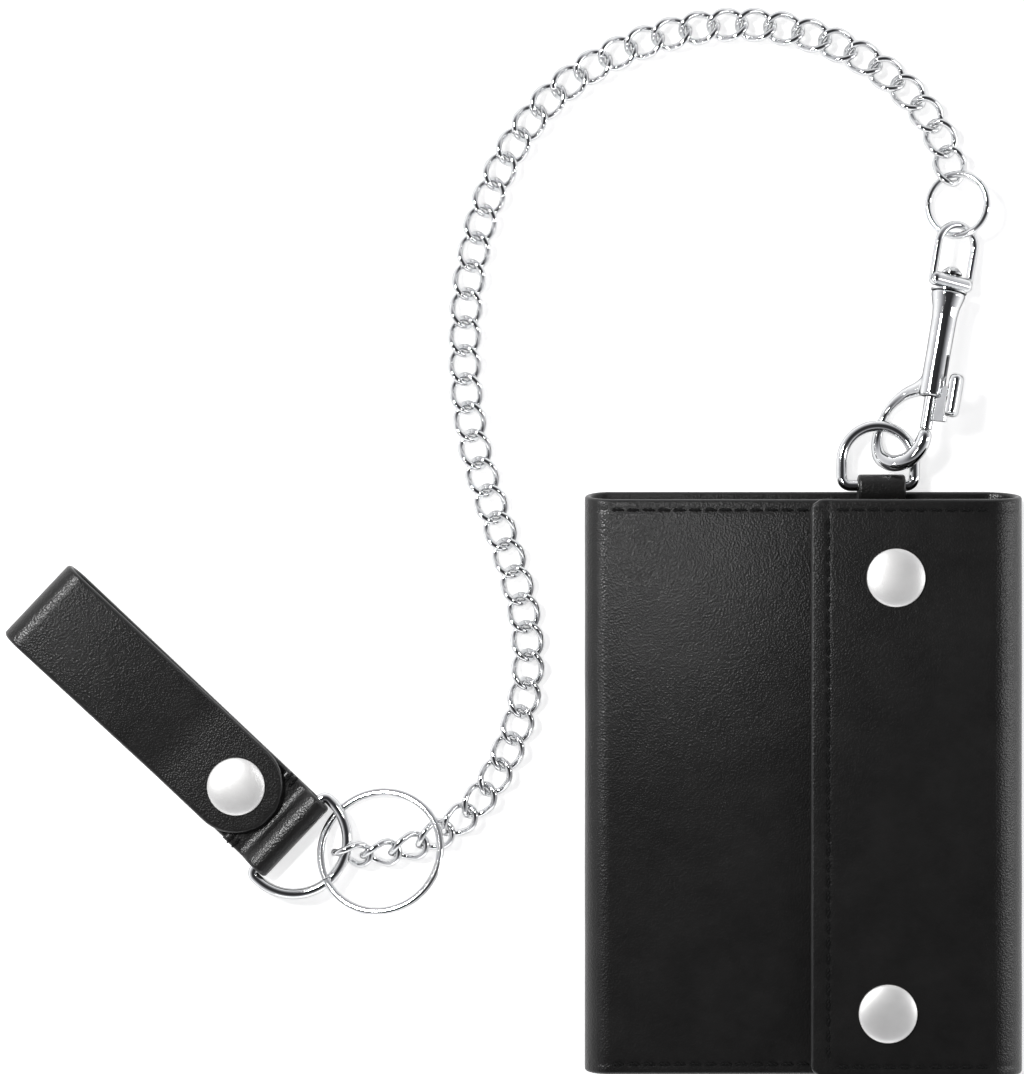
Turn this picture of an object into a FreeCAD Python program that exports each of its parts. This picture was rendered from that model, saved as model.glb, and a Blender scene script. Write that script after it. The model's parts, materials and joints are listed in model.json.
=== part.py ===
"""A snap-closed leather trifold wallet on a curb chain with a leather belt loop.

Everything lies flat, as on a table: X to the right, Y up the wallet, Z up from the table.
The origin is the middle of the wallet's back face. All sizes are millimetres.
"""
import FreeCAD, Part
import Sketcher
import math
import os
import re
from FreeCAD import Placement, Rotation, Vector

doc = FreeCAD.newDocument("ChainWallet")
nodes = []

# ---------------------------------------------------------------- driving dimensions
DIMENSIONS = [
    # wallet shell
    ("wallet_width", 94.0), ("wallet_height", 125.0), ("leather", 1.4), ("lining", 0.7),
    ("leaf", 0.7), ("leaf_gap", 0.1), ("bill_gap", 0.6), ("edge_drop", 1.7), ("corner", 2.5),
    ("flap_edge_x", 1.0), ("cover_edge_x", 30.0), ("snap_gap", 1.7), ("lining_inset", 1.2),
    # pockets
    ("back_leaf_left", 43.2), ("back_leaf_right", 39.4), ("leaf_bottom", 60.0),
    ("back_leaf_top", 47.0), ("back_leaf_step", 14.0),
    ("cover_leaf_left", 35.0), ("cover_leaf_right", 27.5), ("cover_leaf_top", 37.0),
    ("cover_leaf_step", 12.0),
    # snap fasteners
    ("cap_radius", 6.25), ("cap_rise", 1.7), ("cap_rim", 0.5), ("post_radius", 1.6),
    ("socket_radius", 5.0), ("stud_radius", 4.7), ("stud_head", 1.9), ("shank_radius", 0.9),
    ("flange_radius", 4.4), ("flange_thick", 0.35),
    ("upper_snap_x", 19.1), ("upper_snap_y", 44.0), ("lower_snap_x", 17.4), ("lower_snap_y", 48.9),
    # wires
    ("dring_wire", 2.3), ("wallet_dring_half", 7.85), ("wallet_dring_deep", 13.0),
    ("wallet_dring_corner", 1.9), ("belt_dring_half", 11.65), ("belt_dring_deep", 13.4),
    ("belt_dring_corner", 1.3),
    ("jump_ring_wire", 1.5), ("jump_ring_radius", 6.65),
    ("key_ring_radius", 13.25), ("key_ring_width", 1.5), ("key_ring_coil", 0.7),
    # ring tab
    ("tab_width", 10.2), ("tab_leather", 1.2), ("tab_centre_x", 17.2), ("bar_y", 63.8),
    ("bar_z", 3.9), ("tab_tail_y", 49.5),
    # chain
    ("link_wire", 1.42), ("link_half_length", 3.92), ("link_half_width", 3.15),
    ("link_twist", 92.0), ("link_pitch", 6.17),
    # hook
    ("barrel_radius", 2.7), ("barrel_length", 20.0), ("bell_radius", 3.65), ("bell_top", 22.9),
    ("bore_radius", 1.5), ("bore_depth", 16.0), ("pin_radius", 1.32), ("pin_top", 4.0),
    ("pin_tip", -7.1), ("slot_width", 1.5), ("slot_top", 9.3), ("rivet_radius", 1.1),
    ("eye_bar_low", 23.7), ("eye_bar_high", 26.9), ("eye_half", 4.6), ("eye_wire", 1.7),
    ("eye_arch", 33.3), ("eye_bar_depth", 3.2),
    # belt strap
    ("strap_width", 20.5), ("strap_leather", 1.5), ("strap_length", 77.2), ("loop_radius", 4.4),
    ("strap_snap", 59.2), ("strap_tip", 69.2), ("return_end", 64.6), ("strap_slope_end", 44.0),
    # thread
    ("thread", 0.6), ("stitch_pitch", 3.3), ("stitch_length", 2.5), ("stitch_inset", 2.3),
    ("flap_stitch_inset", 3.7),
]
ALIASES = {alias for alias, _ in DIMENSIONS}
sheet = doc.addObject("Spreadsheet::Sheet", "Dims")
for row, (alias, value) in enumerate(DIMENSIONS, start=1):
    sheet.set(f"A{row}", alias)
    sheet.set(f"B{row}", str(value))
    sheet.setAlias(f"B{row}", alias)
doc.recompute()


def dim(alias):
    """The sheet's value, in millimetres or degrees."""
    return float(sheet.get(alias))


def sheet_text(formula):
    """An expression with every sheet alias in it spelled as Dims.alias."""
    return re.sub(r"[a-z_]+", lambda word: f"Dims.{word[0]}" if word[0] in ALIASES else word[0],
                  formula)


calculator = doc.addObject("App::FeaturePython", "Calculator")


def number(formula):
    """The value of a formula in sheet aliases."""
    return float(calculator.evalExpression(sheet_text(formula)))


# heights of the layers above the table, as formulas in the sheet's cells
DIVIDER_Z = "(leather + bill_gap)"
LEAF_RISE = "(leaf + leaf_gap)"
BACK_LEAVES = 4
COVER_LEAVES = 3
COVER_LEAF_Z = f"({DIVIDER_Z} + lining + leaf_gap + {BACK_LEAVES} * {LEAF_RISE} + 0.2)"
COVER_LINING_Z = f"({COVER_LEAF_Z} + {COVER_LEAVES} * {LEAF_RISE})"
COVER_Z = f"({COVER_LINING_Z} + lining + leaf_gap)"
COVER_TOP = f"({COVER_Z} + leather)"
FLAP_LINING_Z = f"({COVER_TOP} + snap_gap)"
FLAP_Z = f"({FLAP_LINING_Z} + lining)"
FLAP_TOP = f"({FLAP_Z} + leather)"
LEFT_RADIUS = f"({COVER_TOP} / 2)"
RIGHT_RADIUS = f"({FLAP_TOP} / 2)"
LEFT_HINGE_X = f"(-wallet_width / 2 + {LEFT_RADIUS})"
RIGHT_HINGE_X = f"(wallet_width / 2 - {RIGHT_RADIUS})"
HALF = "(wallet_height / 2)"


# ---------------------------------------------------------------- building helpers
def keep(obj, label):
    """Gives a sub-part its node name and keeps it for writing."""
    obj.Label = label
    nodes.append(obj)
    return obj


def plane(body, role):
    """One of the body's own origin planes."""
    return next(f for f in body.Origin.OriginFeatures if f.Role == role)


def closed_sketch(body, role, points, bows=None):
    """A sketch on an origin plane through points given as pairs of formulas.

    bows maps a side's index to a formula: that side is an arc of that radius, and a
    minus sign in front bends it the other way.
    """
    bows = bows or {}
    sketch = body.newObject("Sketcher::SketchObject", "Outline")
    sketch.AttachmentSupport = [(plane(body, role), "")]
    sketch.MapMode = "FlatFace"
    values = [Vector(number(x), number(y), 0) for x, y in points]
    count = len(values)
    for side in range(count):
        start, end = values[side], values[(side + 1) % count]
        if side in bows:
            sketch.addGeometry(bowed(start, end, number(bows[side])), False)
        else:
            sketch.addGeometry(Part.LineSegment(start, end), False)
    ends = [side_ends(sketch, side, values) for side in range(count)]
    for side in range(count):
        after = (side + 1) % count
        sketch.addConstraint(Sketcher.Constraint("Coincident", side, ends[side][1],
                                                 after, ends[after][0]))
    for side, (x, y) in enumerate(points):
        for kind, formula in (("DistanceX", x), ("DistanceY", y)):
            index = sketch.addConstraint(
                Sketcher.Constraint(kind, side, ends[side][0], number(formula)))
            sketch.setExpression(f"Constraints[{index}]", sheet_text(formula))
    for side, formula in bows.items():
        size = formula.lstrip("-")
        index = sketch.addConstraint(Sketcher.Constraint("Radius", side, number(size)))
        sketch.setExpression(f"Constraints[{index}]", sheet_text(size))
    return sketch


def bowed(start, end, radius):
    """The short arc between two points, to the left of the run for a positive radius."""
    run = end - start
    half = run.Length / 2
    side = Vector(-run.y, run.x, 0).normalize() * math.copysign(1, radius)
    sagitta = abs(radius) - math.sqrt(max(radius * radius - half * half, 0))
    arc = Part.Arc(start, (start + end) * 0.5 + side * sagitta, end)
    return arc


def side_ends(sketch, side, values):
    """Which end of a side's curve, 1 or 2, is at its first and second point."""
    first = sketch.getPoint(side, 1)
    same = first.distanceToPoint(values[side]) < first.distanceToPoint(values[(side + 1) % len(values)])
    return (1, 2) if same else (2, 1)


def padded(label, role, points, depth, bows=None, middle=False):
    """A body padded from a closed outline."""
    body = doc.addObject("PartDesign::Body", label)
    sketch = closed_sketch(body, role, points, bows)
    pad = body.newObject("PartDesign::Pad", "Pad")
    pad.Profile = sketch
    pad.Midplane = middle
    pad.setExpression("Length", sheet_text(depth))
    doc.recompute()
    return body


def rounded(body, corners, radius):
    """Fillets the upright edges of a body that stand at the given points."""
    tip = body.Tip
    names = []
    for index, edge in enumerate(tip.Shape.Edges, start=1):
        ends = [v.Point for v in edge.Vertexes]
        if len(ends) == 2 and abs(ends[0].z - ends[1].z) > 0.1:
            if any(math.hypot(ends[0].x - x, ends[0].y - y) < 0.05 for x, y in corners):
                names.append(f"Edge{index}")
    fillet = body.newObject("PartDesign::Fillet", "Corners")
    fillet.Base = (tip, names)
    fillet.setExpression("Radius", sheet_text(radius))
    body.Tip = fillet
    doc.recompute()
    return body


def holed(body, centres, radius, depth="20"):
    """Round holes right through a body, at the given pairs of formulas."""
    sketch = body.newObject("Sketcher::SketchObject", "Holes")
    sketch.AttachmentSupport = [(plane(body, "XY_Plane"), "")]
    sketch.MapMode = "FlatFace"
    for index, (x, y) in enumerate(centres):
        centre = Vector(number(x), number(y), 0)
        sketch.addGeometry(Part.Circle(centre, Vector(0, 0, 1), number(radius)), False)
        for kind, formula, spot in (("DistanceX", x, 3), ("DistanceY", y, 3)):
            row = sketch.addConstraint(Sketcher.Constraint(kind, index, spot, number(formula)))
            sketch.setExpression(f"Constraints[{row}]", sheet_text(formula))
        row = sketch.addConstraint(Sketcher.Constraint("Radius", index, number(radius)))
        sketch.setExpression(f"Constraints[{row}]", sheet_text(radius))
    before = body.Tip.Shape.Volume
    pocket = body.newObject("PartDesign::Pocket", "HoleCut")
    pocket.Profile = sketch
    pocket.Midplane = True
    pocket.setExpression("Length", sheet_text(depth))
    doc.recompute()
    if pocket.Shape.Volume >= before - 0.01:
        raise RuntimeError(f"{body.Label}: its holes cut nothing")
    return body


def turned(label, points, bows=None):
    """A body turned about Z from an outline of radius and height formulas."""
    body = doc.addObject("PartDesign::Body", label)
    sketch = closed_sketch(body, "XZ_Plane", points, bows)
    turn = body.newObject("PartDesign::Revolution", "Turned")
    turn.Profile = sketch
    turn.ReferenceAxis = (sketch, ["V_Axis"])
    turn.Angle = 360
    doc.recompute()
    return body


def solid_node(label, shape, where=Placement()):
    """A sub-part whose shape is worked out in code, then placed."""
    feature = doc.addObject("Part::Feature", label)
    feature.Shape = shape
    feature.Placement = where.multiply(shape.Placement)
    return keep(feature, label)


def group(label, shape, places):
    """One node of identical separate solids."""
    copies = []
    for where in places:
        copy = shape.copy()
        copy.Placement = where.multiply(copy.Placement)
        copies.append(copy)
    return solid_node(label, Part.Compound(copies))


def leather_sheet(label, left, right, bottom, top, low, thick, round_left=False, round_right=False,
                  holes=(), hole_radius="shank_radius"):
    """A flat sheet between four formulas, its bottom face at the height low."""
    body = padded(label, "XY_Plane", [(left, bottom), (right, bottom), (right, top), (left, top)],
                  thick)
    corners = []
    if round_left:
        corners += [(number(left), number(bottom)), (number(left), number(top))]
    if round_right:
        corners += [(number(right), number(bottom)), (number(right), number(top))]
    if corners:
        rounded(body, corners, "corner")
    if holes:
        holed(body, holes, hole_radius)
    body.setExpression("Placement.Base.z", sheet_text(low))
    doc.recompute()
    return keep(body, label)


# ---------------------------------------------------------------- wires
def wire_path(points, closed=False):
    """Straight runs joined by tangent arcs that meet at the middle of the shorter runs."""
    count = len(points)
    inner = range(count) if closed else range(1, count - 1)
    arcs = []
    for index in inner:
        before, here, after = points[index - 1], points[index], points[(index + 1) % count]
        to_before, to_after = before - here, after - here
        reach = 0.4999 * min(to_before.Length, to_after.Length)
        one, two = Vector(to_before).normalize(), Vector(to_after).normalize()
        half = one.getAngle(two) / 2
        bisector = (one + two).normalize()
        depth = reach * math.tan(half)
        middle = here + bisector * (reach / math.cos(half) - depth)
        arcs.append((here + one * reach, middle, here + two * reach))
    edges = []
    cursor = arcs[-1][2] if closed else points[0]
    for start, middle, end in arcs:
        if cursor.distanceToPoint(start) > 0.01:
            edges.append(Part.LineSegment(cursor, start).toShape())
        else:
            start = cursor
        edges.append(Part.Arc(start, middle, end).toShape())
        cursor = end
    if not closed:
        edges.append(Part.LineSegment(cursor, points[-1]).toShape())
    return edges


def tube(edges, radius):
    """A round wire along the edges of an open path."""
    path = Part.Wire(edges)
    start = edges[0].valueAt(edges[0].FirstParameter)
    along = edges[0].tangentAt(edges[0].FirstParameter)
    disc = Part.Face(Part.Wire(Part.makeCircle(radius, start, along)))
    return path.makePipe(disc)


def closed_tube(edges, radius):
    """A round wire along a closed path, made as two half tubes and fused."""
    half = len(edges) // 2
    return tube(edges[:half], radius).fuse(tube(edges[half:], radius)).removeSplitter()


def d_path(half_width, depth, corner):
    """A D in its own plane: the bar on X through the origin, the bow towards +Y."""
    side = depth - half_width
    bar_left, bar_right = Vector(-half_width + corner, 0, 0), Vector(half_width - corner, 0, 0)
    low_left, low_right = Vector(-half_width, corner, 0), Vector(half_width, corner, 0)
    high_left, high_right = Vector(-half_width, side, 0), Vector(half_width, side, 0)
    bend = corner * (1 - math.sqrt(0.5))
    edges = [Part.LineSegment(Vector(0, 0, 0), bar_right).toShape(),
             Part.Arc(bar_right, Vector(half_width - bend, bend, 0), low_right).toShape()]
    if side - corner > 0.01:
        edges.append(Part.LineSegment(low_right, high_right).toShape())
    else:
        high_left, high_right = low_left, low_right
    edges.append(Part.Arc(high_right, Vector(0, depth, 0), high_left).toShape())
    if side - corner > 0.01:
        edges.append(Part.LineSegment(high_left, low_left).toShape())
    edges += [Part.Arc(low_left, Vector(-half_width + bend, bend, 0), bar_left).toShape(),
              Part.LineSegment(bar_left, Vector(0, 0, 0)).toShape()]
    return edges


def frame(origin, x_axis, y_axis):
    """The placement whose X and Y run along the two given directions."""
    x_axis = Vector(x_axis).normalize()
    z_axis = x_axis.cross(Vector(y_axis)).normalize()
    return Placement(origin, Rotation(x_axis, z_axis.cross(x_axis), z_axis, "XZY"))


# ---------------------------------------------------------------- wallet shell
FLAP_SNAPS = [("upper_snap_x", "upper_snap_y"), ("lower_snap_x", "-lower_snap_y")]


def fold(label, hinge_x, radius, height, turn):
    """Half a tube of shell leather round a fold, standing along Y."""
    outer = doc.addObject("Part::Cylinder", label + "_outer")
    inner = doc.addObject("Part::Cylinder", label + "_inner")
    for cylinder, size in ((outer, radius), (inner, f"{radius} - leather")):
        cylinder.Angle = 180
        cylinder.setExpression("Radius", sheet_text(size))
        cylinder.setExpression("Height", sheet_text(height))
    inner.Angle = 360
    cut = doc.addObject("Part::Cut", label)
    cut.Base = outer
    cut.Tool = inner
    cut.Placement = Placement(Vector(), Rotation(Vector(1, 0, 0), 90).multiply(
        Rotation(Vector(0, 0, 1), turn)))
    cut.setExpression("Placement.Base.x", sheet_text(hinge_x))
    cut.setExpression("Placement.Base.y", sheet_text(f"-{HALF} + {height}"))
    cut.setExpression("Placement.Base.z", sheet_text(radius))
    doc.recompute()
    return keep(cut, label)


def wallet_shell():
    """The outer leather: back, left fold, cover, right fold and closing flap."""
    front_top = f"{HALF} - edge_drop"
    leather_sheet("back_panel", LEFT_HINGE_X, RIGHT_HINGE_X, f"-{HALF}", HALF, "0", "leather")
    fold("left_fold", LEFT_HINGE_X, LEFT_RADIUS, "(wallet_height - edge_drop / 2)", 90)
    fold("right_fold", RIGHT_HINGE_X, RIGHT_RADIUS, "(wallet_height - edge_drop / 2)", -90)
    leather_sheet("cover_panel", LEFT_HINGE_X, "cover_edge_x", f"-{HALF}", front_top, COVER_Z,
                  "leather", round_right=True, holes=FLAP_SNAPS, hole_radius="shank_radius + 0.1")
    leather_sheet("flap_panel", "flap_edge_x", RIGHT_HINGE_X, f"-{HALF}", front_top, FLAP_Z,
                  "leather", round_left=True, holes=FLAP_SNAPS, hole_radius="post_radius + 0.1")


def wallet_inside():
    """Linings, the bill divider and the card pockets."""
    top = f"{HALF} - edge_drop - lining_inset"
    low = f"-{HALF} + lining_inset"
    leather_sheet("bill_divider", "-back_leaf_left", "back_leaf_right", low,
                  "back_leaf_top + 1", DIVIDER_Z, "lining")
    for index in range(BACK_LEAVES):
        leather_sheet(f"back_card_pocket_{index + 1}", "-back_leaf_left", "back_leaf_right",
                      "-leaf_bottom", f"back_leaf_top - {index} * back_leaf_step",
                      f"{DIVIDER_Z} + lining + leaf_gap + {index} * {LEAF_RISE}", "leaf")
    for index in range(COVER_LEAVES):
        leather_sheet(f"cover_card_pocket_{index + 1}", "-cover_leaf_left", "cover_leaf_right",
                      "-leaf_bottom", f"cover_leaf_top - {index} * cover_leaf_step",
                      f"{COVER_LINING_Z} - leaf_gap - leaf - {index} * {LEAF_RISE}", "leaf")
    leather_sheet("cover_lining", f"{LEFT_HINGE_X} + 1", "cover_edge_x - lining_inset", low, top,
                  COVER_LINING_Z, "lining", holes=FLAP_SNAPS, hole_radius="flange_radius + 0.2")
    leather_sheet("flap_lining", "flap_edge_x + lining_inset", RIGHT_HINGE_X, low, top,
                  FLAP_LINING_Z, "lining", holes=FLAP_SNAPS, hole_radius="post_radius + 0.1")


# ---------------------------------------------------------------- snap fasteners
def snap_outlines(thickness):
    """Cap, socket, stud and eyelet outlines, heights counted from the lower leather's top."""
    seat = f"(snap_gap + {thickness})"
    cap = [("0", "snap_gap - 0.3"), ("post_radius", "snap_gap - 0.3"), ("post_radius", seat),
           ("cap_radius", seat), ("cap_radius", f"{seat} + cap_rim"), ("0", f"{seat} + cap_rise")]
    socket = [("stud_head + 0.4", "0.45"), ("socket_radius", "0.45"), ("socket_radius", "snap_gap"),
              ("post_radius + 0.1", "snap_gap"), ("post_radius + 0.1", "snap_gap - 0.3"),
              ("stud_head + 0.4", "snap_gap - 0.3")]
    stud = [("shank_radius + 0.1", "0"), ("stud_radius", "0"), ("stud_radius", "0.35"),
            ("stud_head - 0.3", "0.35"), ("stud_head", "0.85"), ("stud_head - 0.3", "1.3"),
            ("shank_radius + 0.1", "1.3")]
    return cap, socket, stud


def snap_set(prefix, thickness, eyelet_drop, places):
    """The four pieces of a snap fastener, one node each, at every place given."""
    cap, socket, stud = snap_outlines(thickness)
    dome = "((cap_rise - cap_rim) ^ 2 + cap_radius ^ 2) / (2 * (cap_rise - cap_rim))"
    eyelet = [("0", f"-{eyelet_drop}"), ("flange_radius", f"-{eyelet_drop}"),
              ("flange_radius", f"-{eyelet_drop} + flange_thick"),
              ("shank_radius", f"-{eyelet_drop} + flange_thick"), ("shank_radius", "1.2"), ("0", "1.2")]
    pieces = (("cap", cap, {4: f"-{dome}"}), ("socket", socket, {}), ("stud", stud, {}),
              ("eyelet", eyelet, {}))
    for name, outline, bows in pieces:
        body = turned(f"{prefix}_{name}_turned", outline, bows)
        group(f"{prefix}_snap_{name}", body.Shape, places)


# ---------------------------------------------------------------- ring tab and D-rings
WALLET_RING_X, WALLET_RING_SLOPE = 16.5, -0.05  # across the wallet, and its droop to the table


def d_ring(size, where):
    """A bent wire D whose bar lies on X; size is wallet or belt."""
    path = d_path(*(dim(f"{size}_dring_{part}") for part in ("half", "deep", "corner")))
    return solid_node(f"{size}_d_ring", closed_tube(path, dim("dring_wire") / 2), where)


def ring_tab():
    """A leather strip folded round the D-ring's bar, its two tails inside the wallet."""
    inner = "(dring_wire / 2 + 0.1)"
    outer = f"({inner} + tab_leather)"
    tail_low = f"(bar_z - {outer})"
    squeeze = "bar_y - 7"
    tail_top = f"{tail_low} + 2 * tab_leather + 0.05"
    tail_middle = f"{tail_low} + tab_leather + 0.05"
    points = [("tab_tail_y", tail_low), ("bar_y", tail_low), (f"bar_y + {outer}", "bar_z"),
              ("bar_y", f"bar_z + {outer}"), (squeeze, tail_top), ("tab_tail_y", tail_top),
              ("tab_tail_y", tail_middle), (squeeze, tail_middle), ("bar_y", f"bar_z + {inner}"),
              (f"bar_y + {inner}", "bar_z"), ("bar_y", f"bar_z - {inner}"),
              ("tab_tail_y", f"{tail_low} + tab_leather")]
    body = doc.addObject("PartDesign::Body", "ring_tab")
    sketch = closed_sketch(body, "YZ_Plane", points,
                           {1: f"-{outer}", 2: f"-{outer}", 8: inner, 9: inner})
    pad = body.newObject("PartDesign::Pad", "Pad")
    pad.Profile = sketch
    pad.Midplane = True
    pad.setExpression("Length", "Dims.tab_width")
    body.setExpression("Placement.Base.x", "Dims.tab_centre_x")
    doc.recompute()
    keep(body, "ring_tab")


# ---------------------------------------------------------------- swivel snap hook
HOOK_FOOT = Vector(27.6, 83.0, 6.7)     # middle of the barrel's lower end
HOOK_AIM = Vector(0.1768, 0.9843, -0.08)  # along the barrel, towards the swivel
HOOK_ROLL = 35.0
EYE_ROLL = -25.0
HOOK_ARM = [(-2.9, 1.6), (-6.6, 0.2), (-9.9, -3.8), (-11.2, -8.0), (-11.2, -12.0), (-10.5, -13.4)]
HOOK_JAW = [(-10.5, -13.4), (-9.4, -14.8), (-6.3, -15.4), (-2.7, -14.1), (-0.6, -11.4), (0.0, -9.2),
            (0.0, -7.4)]
ARM_RADIUS, JAW_RADIUS = 0.95, 1.7


def barrel_frame(roll):
    """X across the hook, Z along its barrel, turned about the barrel by roll degrees."""
    aim = Vector(HOOK_AIM).normalize()
    level = aim.cross(Vector(0, 0, 1)).normalize()
    up = level.cross(aim)
    turn = math.radians(roll)
    across = level * math.cos(turn) + up * math.sin(turn)
    return Placement(HOOK_FOOT, Rotation(across, Vector(), aim, "ZXY"))


def in_hook_plane(points):
    return [Vector(x, 0, z) for x, z in points]


def hook_body():
    """Barrel with its bore and thumb slot, and the hook bent from its lower end."""
    where = barrel_frame(HOOK_ROLL)
    barrel = turned("hook_barrel", [
        ("bore_radius", "0"), ("barrel_radius", "0"), ("barrel_radius", "barrel_length - 2"),
        ("bell_radius", "bell_top - 1.2"), ("bell_radius", "bell_top"),
        ("rivet_radius + 0.02", "bell_top"), ("rivet_radius + 0.02", "bore_depth"),
        ("bore_radius", "bore_depth")])
    slot = Part.makeBox(dim("barrel_radius") + 1, dim("slot_width"), dim("slot_top") + 1,
                        Vector(0, -dim("slot_width") / 2, -1))
    arm = tube(wire_path(in_hook_plane(HOOK_ARM)), ARM_RADIUS)
    jaw = tube(wire_path(in_hook_plane(HOOK_JAW)), JAW_RADIUS)
    tip = Part.makeSphere(JAW_RADIUS, in_hook_plane(HOOK_JAW)[0])
    bore = Part.makeCylinder(dim("bore_radius"), dim("bore_depth"))
    shape = barrel.Shape.fuse([arm, jaw, tip]).cut(bore.fuse(slot)).removeSplitter()
    solid_node("hook_body", shape, where)


def hook_bolt():
    """The sliding pin, and the thumb piece that reaches it through the slot."""
    where = barrel_frame(HOOK_ROLL)
    pin = doc.addObject("Part::Cylinder", "bolt_pin")
    pin.setExpression("Radius", "Dims.pin_radius")
    pin.setExpression("Height", "Dims.pin_top - Dims.pin_tip")
    pin.Placement = where.multiply(Placement(Vector(0, 0, dim("pin_tip")), Rotation()))
    keep(pin, "bolt_pin")
    near, far, low, foot, high = dim("pin_radius") + 0.04, 4.3, -5.6, -4.0, 2.6
    web = Part.makePolygon([Vector(near, 0, low), Vector(far, 0, foot), Vector(far, 0, high),
                            Vector(near, 0, high), Vector(near, 0, low)])
    web_thick = dim("slot_width") - 0.3
    plate = Part.Face(web).extrude(Vector(0, web_thick, 0))
    plate.translate(Vector(0, -web_thick / 2, 0))
    deep, wide, tall = 2.6, 3.6, 9.4
    grip = Part.makeBox(deep, wide, tall, Vector(far, -wide / 2, foot))
    grip = grip.makeFillet(0.7, grip.Edges)
    solid_node("bolt_thumb_piece", plate.fuse(grip), where)


def hook_spring():
    """The coil spring in the barrel, above the pin."""
    turns, radius, wire = 8, 1.12, 0.17
    low, high = dim("pin_top") + 0.3, dim("bore_depth") - 0.3
    helix = Part.makeHelix((high - low) / turns, high - low, radius)
    disc = Part.Wire(Part.makeCircle(wire, Vector(radius, 0, 0), Vector(0, 1, 0)))
    coil = Part.Wire(helix.Edges).makePipeShell([disc], True, True)
    coil.translate(Vector(0, 0, low))
    solid_node("hook_spring", coil, barrel_frame(HOOK_ROLL))


def swivel():
    """Rivet, washer and the eye that turns about the barrel."""
    where = barrel_frame(EYE_ROLL)
    low, high = dim("eye_bar_low"), dim("eye_bar_high")
    rivet = turned("rivet_turned", [
        ("0", "bore_depth + 0.5"), ("rivet_radius", "bore_depth + 0.5"),
        ("rivet_radius", "eye_bar_high + 0.1"), ("rivet_radius * 2", "eye_bar_high + 0.1"),
        ("rivet_radius * 2", "eye_bar_high + 0.5"), ("rivet_radius", "eye_bar_high + 1.5"),
        ("0", "eye_bar_high + 1.8")])
    solid_node("swivel_rivet", rivet.Shape, where)
    washer = turned("washer_turned", [
        ("rivet_radius + 0.1", "bell_top + 0.1"), ("bell_radius + 0.2", "bell_top + 0.1"),
        ("bell_radius + 0.2", "bell_top + 0.5"), ("rivet_radius + 0.1", "bell_top + 0.5")])
    solid_node("swivel_washer", washer.Shape, where)
    half, arch, wire = dim("eye_half"), dim("eye_arch"), dim("eye_wire") / 2
    base = (low + high) / 2
    edges = [Part.LineSegment(Vector(-half, 0, base), Vector(-half, 0, arch)).toShape(),
             Part.Arc(Vector(-half, 0, arch), Vector(0, 0, arch + half), Vector(half, 0, arch)).toShape(),
             Part.LineSegment(Vector(half, 0, arch), Vector(half, 0, base)).toShape()]
    depth = dim("eye_bar_depth")
    bar = Part.makeBox(2 * half + 1.3, depth, high - low, Vector(-half - 0.65, -depth / 2, low))
    bar = bar.makeFillet(0.6, bar.Edges)
    hole = Part.makeCylinder(dim("rivet_radius") + 0.15, high - low + 2, Vector(0, 0, low - 1))
    solid_node("swivel_eye", tube(edges, wire).fuse(bar).cut(hole), where)


JUMP_RING_CENTRE = Vector(33.7, 124.6, 3.8)
JUMP_RING_LEAN = math.radians(26)
JUMP_RING_SPLIT_AT, JUMP_RING_ARC = 42, 358.5  # where its two ends almost meet, and how far it goes


def jump_ring():
    """A round ring with a fine split, leaning across the eye."""
    ring = doc.addObject("Part::Torus", "jump_ring")
    ring.setExpression("Radius1", "Dims.jump_ring_radius")
    ring.setExpression("Radius2", "Dims.jump_ring_wire / 2")
    ring.Angle3 = JUMP_RING_ARC
    uphill = Vector(math.cos(JUMP_RING_LEAN), 0, math.sin(JUMP_RING_LEAN))
    tilt = frame(JUMP_RING_CENTRE, uphill, Vector(0, 1, 0))
    split = Rotation(Vector(0, 0, 1), JUMP_RING_SPLIT_AT)
    ring.Placement = tilt.multiply(Placement(Vector(), split))
    keep(ring, "jump_ring")


# ---------------------------------------------------------------- chain
CHAIN_ROUTE = [(32.8, 130.1), (27.1, 144.7), (13.4, 156.7), (-10.3, 163.9), (-34.1, 160.1),
               (-54.8, 147.5), (-67.6, 126.7), (-73.0, 95.8), (-70.8, 71.9), (-63.3, 48.2),
               (-59.1, 26.5), (-63.6, 6.1), (-74.0, -8.8), (-85.0, -14.6), (-100.5, -15.6)]
LINKS = 49
LINKS_PER_GROUP = 4
ROLL_START, ROLL_STEP = 42, -7.5
LIFTED_LINKS, LIFT = 3, 1.0  # the first links rise to the jump ring


def chain_pivots():
    """The points where the links meet, one pitch apart along the chain's route."""
    curve = Part.BSplineCurve()
    curve.interpolate([Vector(x, y, 0) for x, y in CHAIN_ROUTE])
    pitch = dim("link_pitch")
    pivots = [curve.value(curve.FirstParameter)]
    low = curve.FirstParameter
    while len(pivots) <= LINKS:
        high = low
        while curve.value(high).distanceToPoint(pivots[-1]) < pitch:
            high += 0.0005 * (curve.LastParameter - curve.FirstParameter)
        for _ in range(30):
            middle = (low + high) / 2
            if curve.value(middle).distanceToPoint(pivots[-1]) < pitch:
                low = middle
            else:
                high = middle
        pivots.append(curve.value(low))
    return pivots


def chain_link():
    """One twisted curb link about the origin, its length on X."""
    corners = 8
    outset = 1 / math.cos(math.pi / corners)
    half_length, half_width = dim("link_half_length"), dim("link_half_width")
    points = []
    for index in range(corners):
        angle = 2 * math.pi * (index + 0.5) / corners
        along = half_length * outset * math.cos(angle)
        across = half_width * outset * math.sin(angle)
        twist = -math.radians(dim("link_twist")) / 2 * max(-1, min(1, along / half_length))
        points.append(Vector(along, across * math.cos(twist), across * math.sin(twist)))
    return closed_tube(wire_path(points, closed=True), dim("link_wire") / 2)


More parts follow.
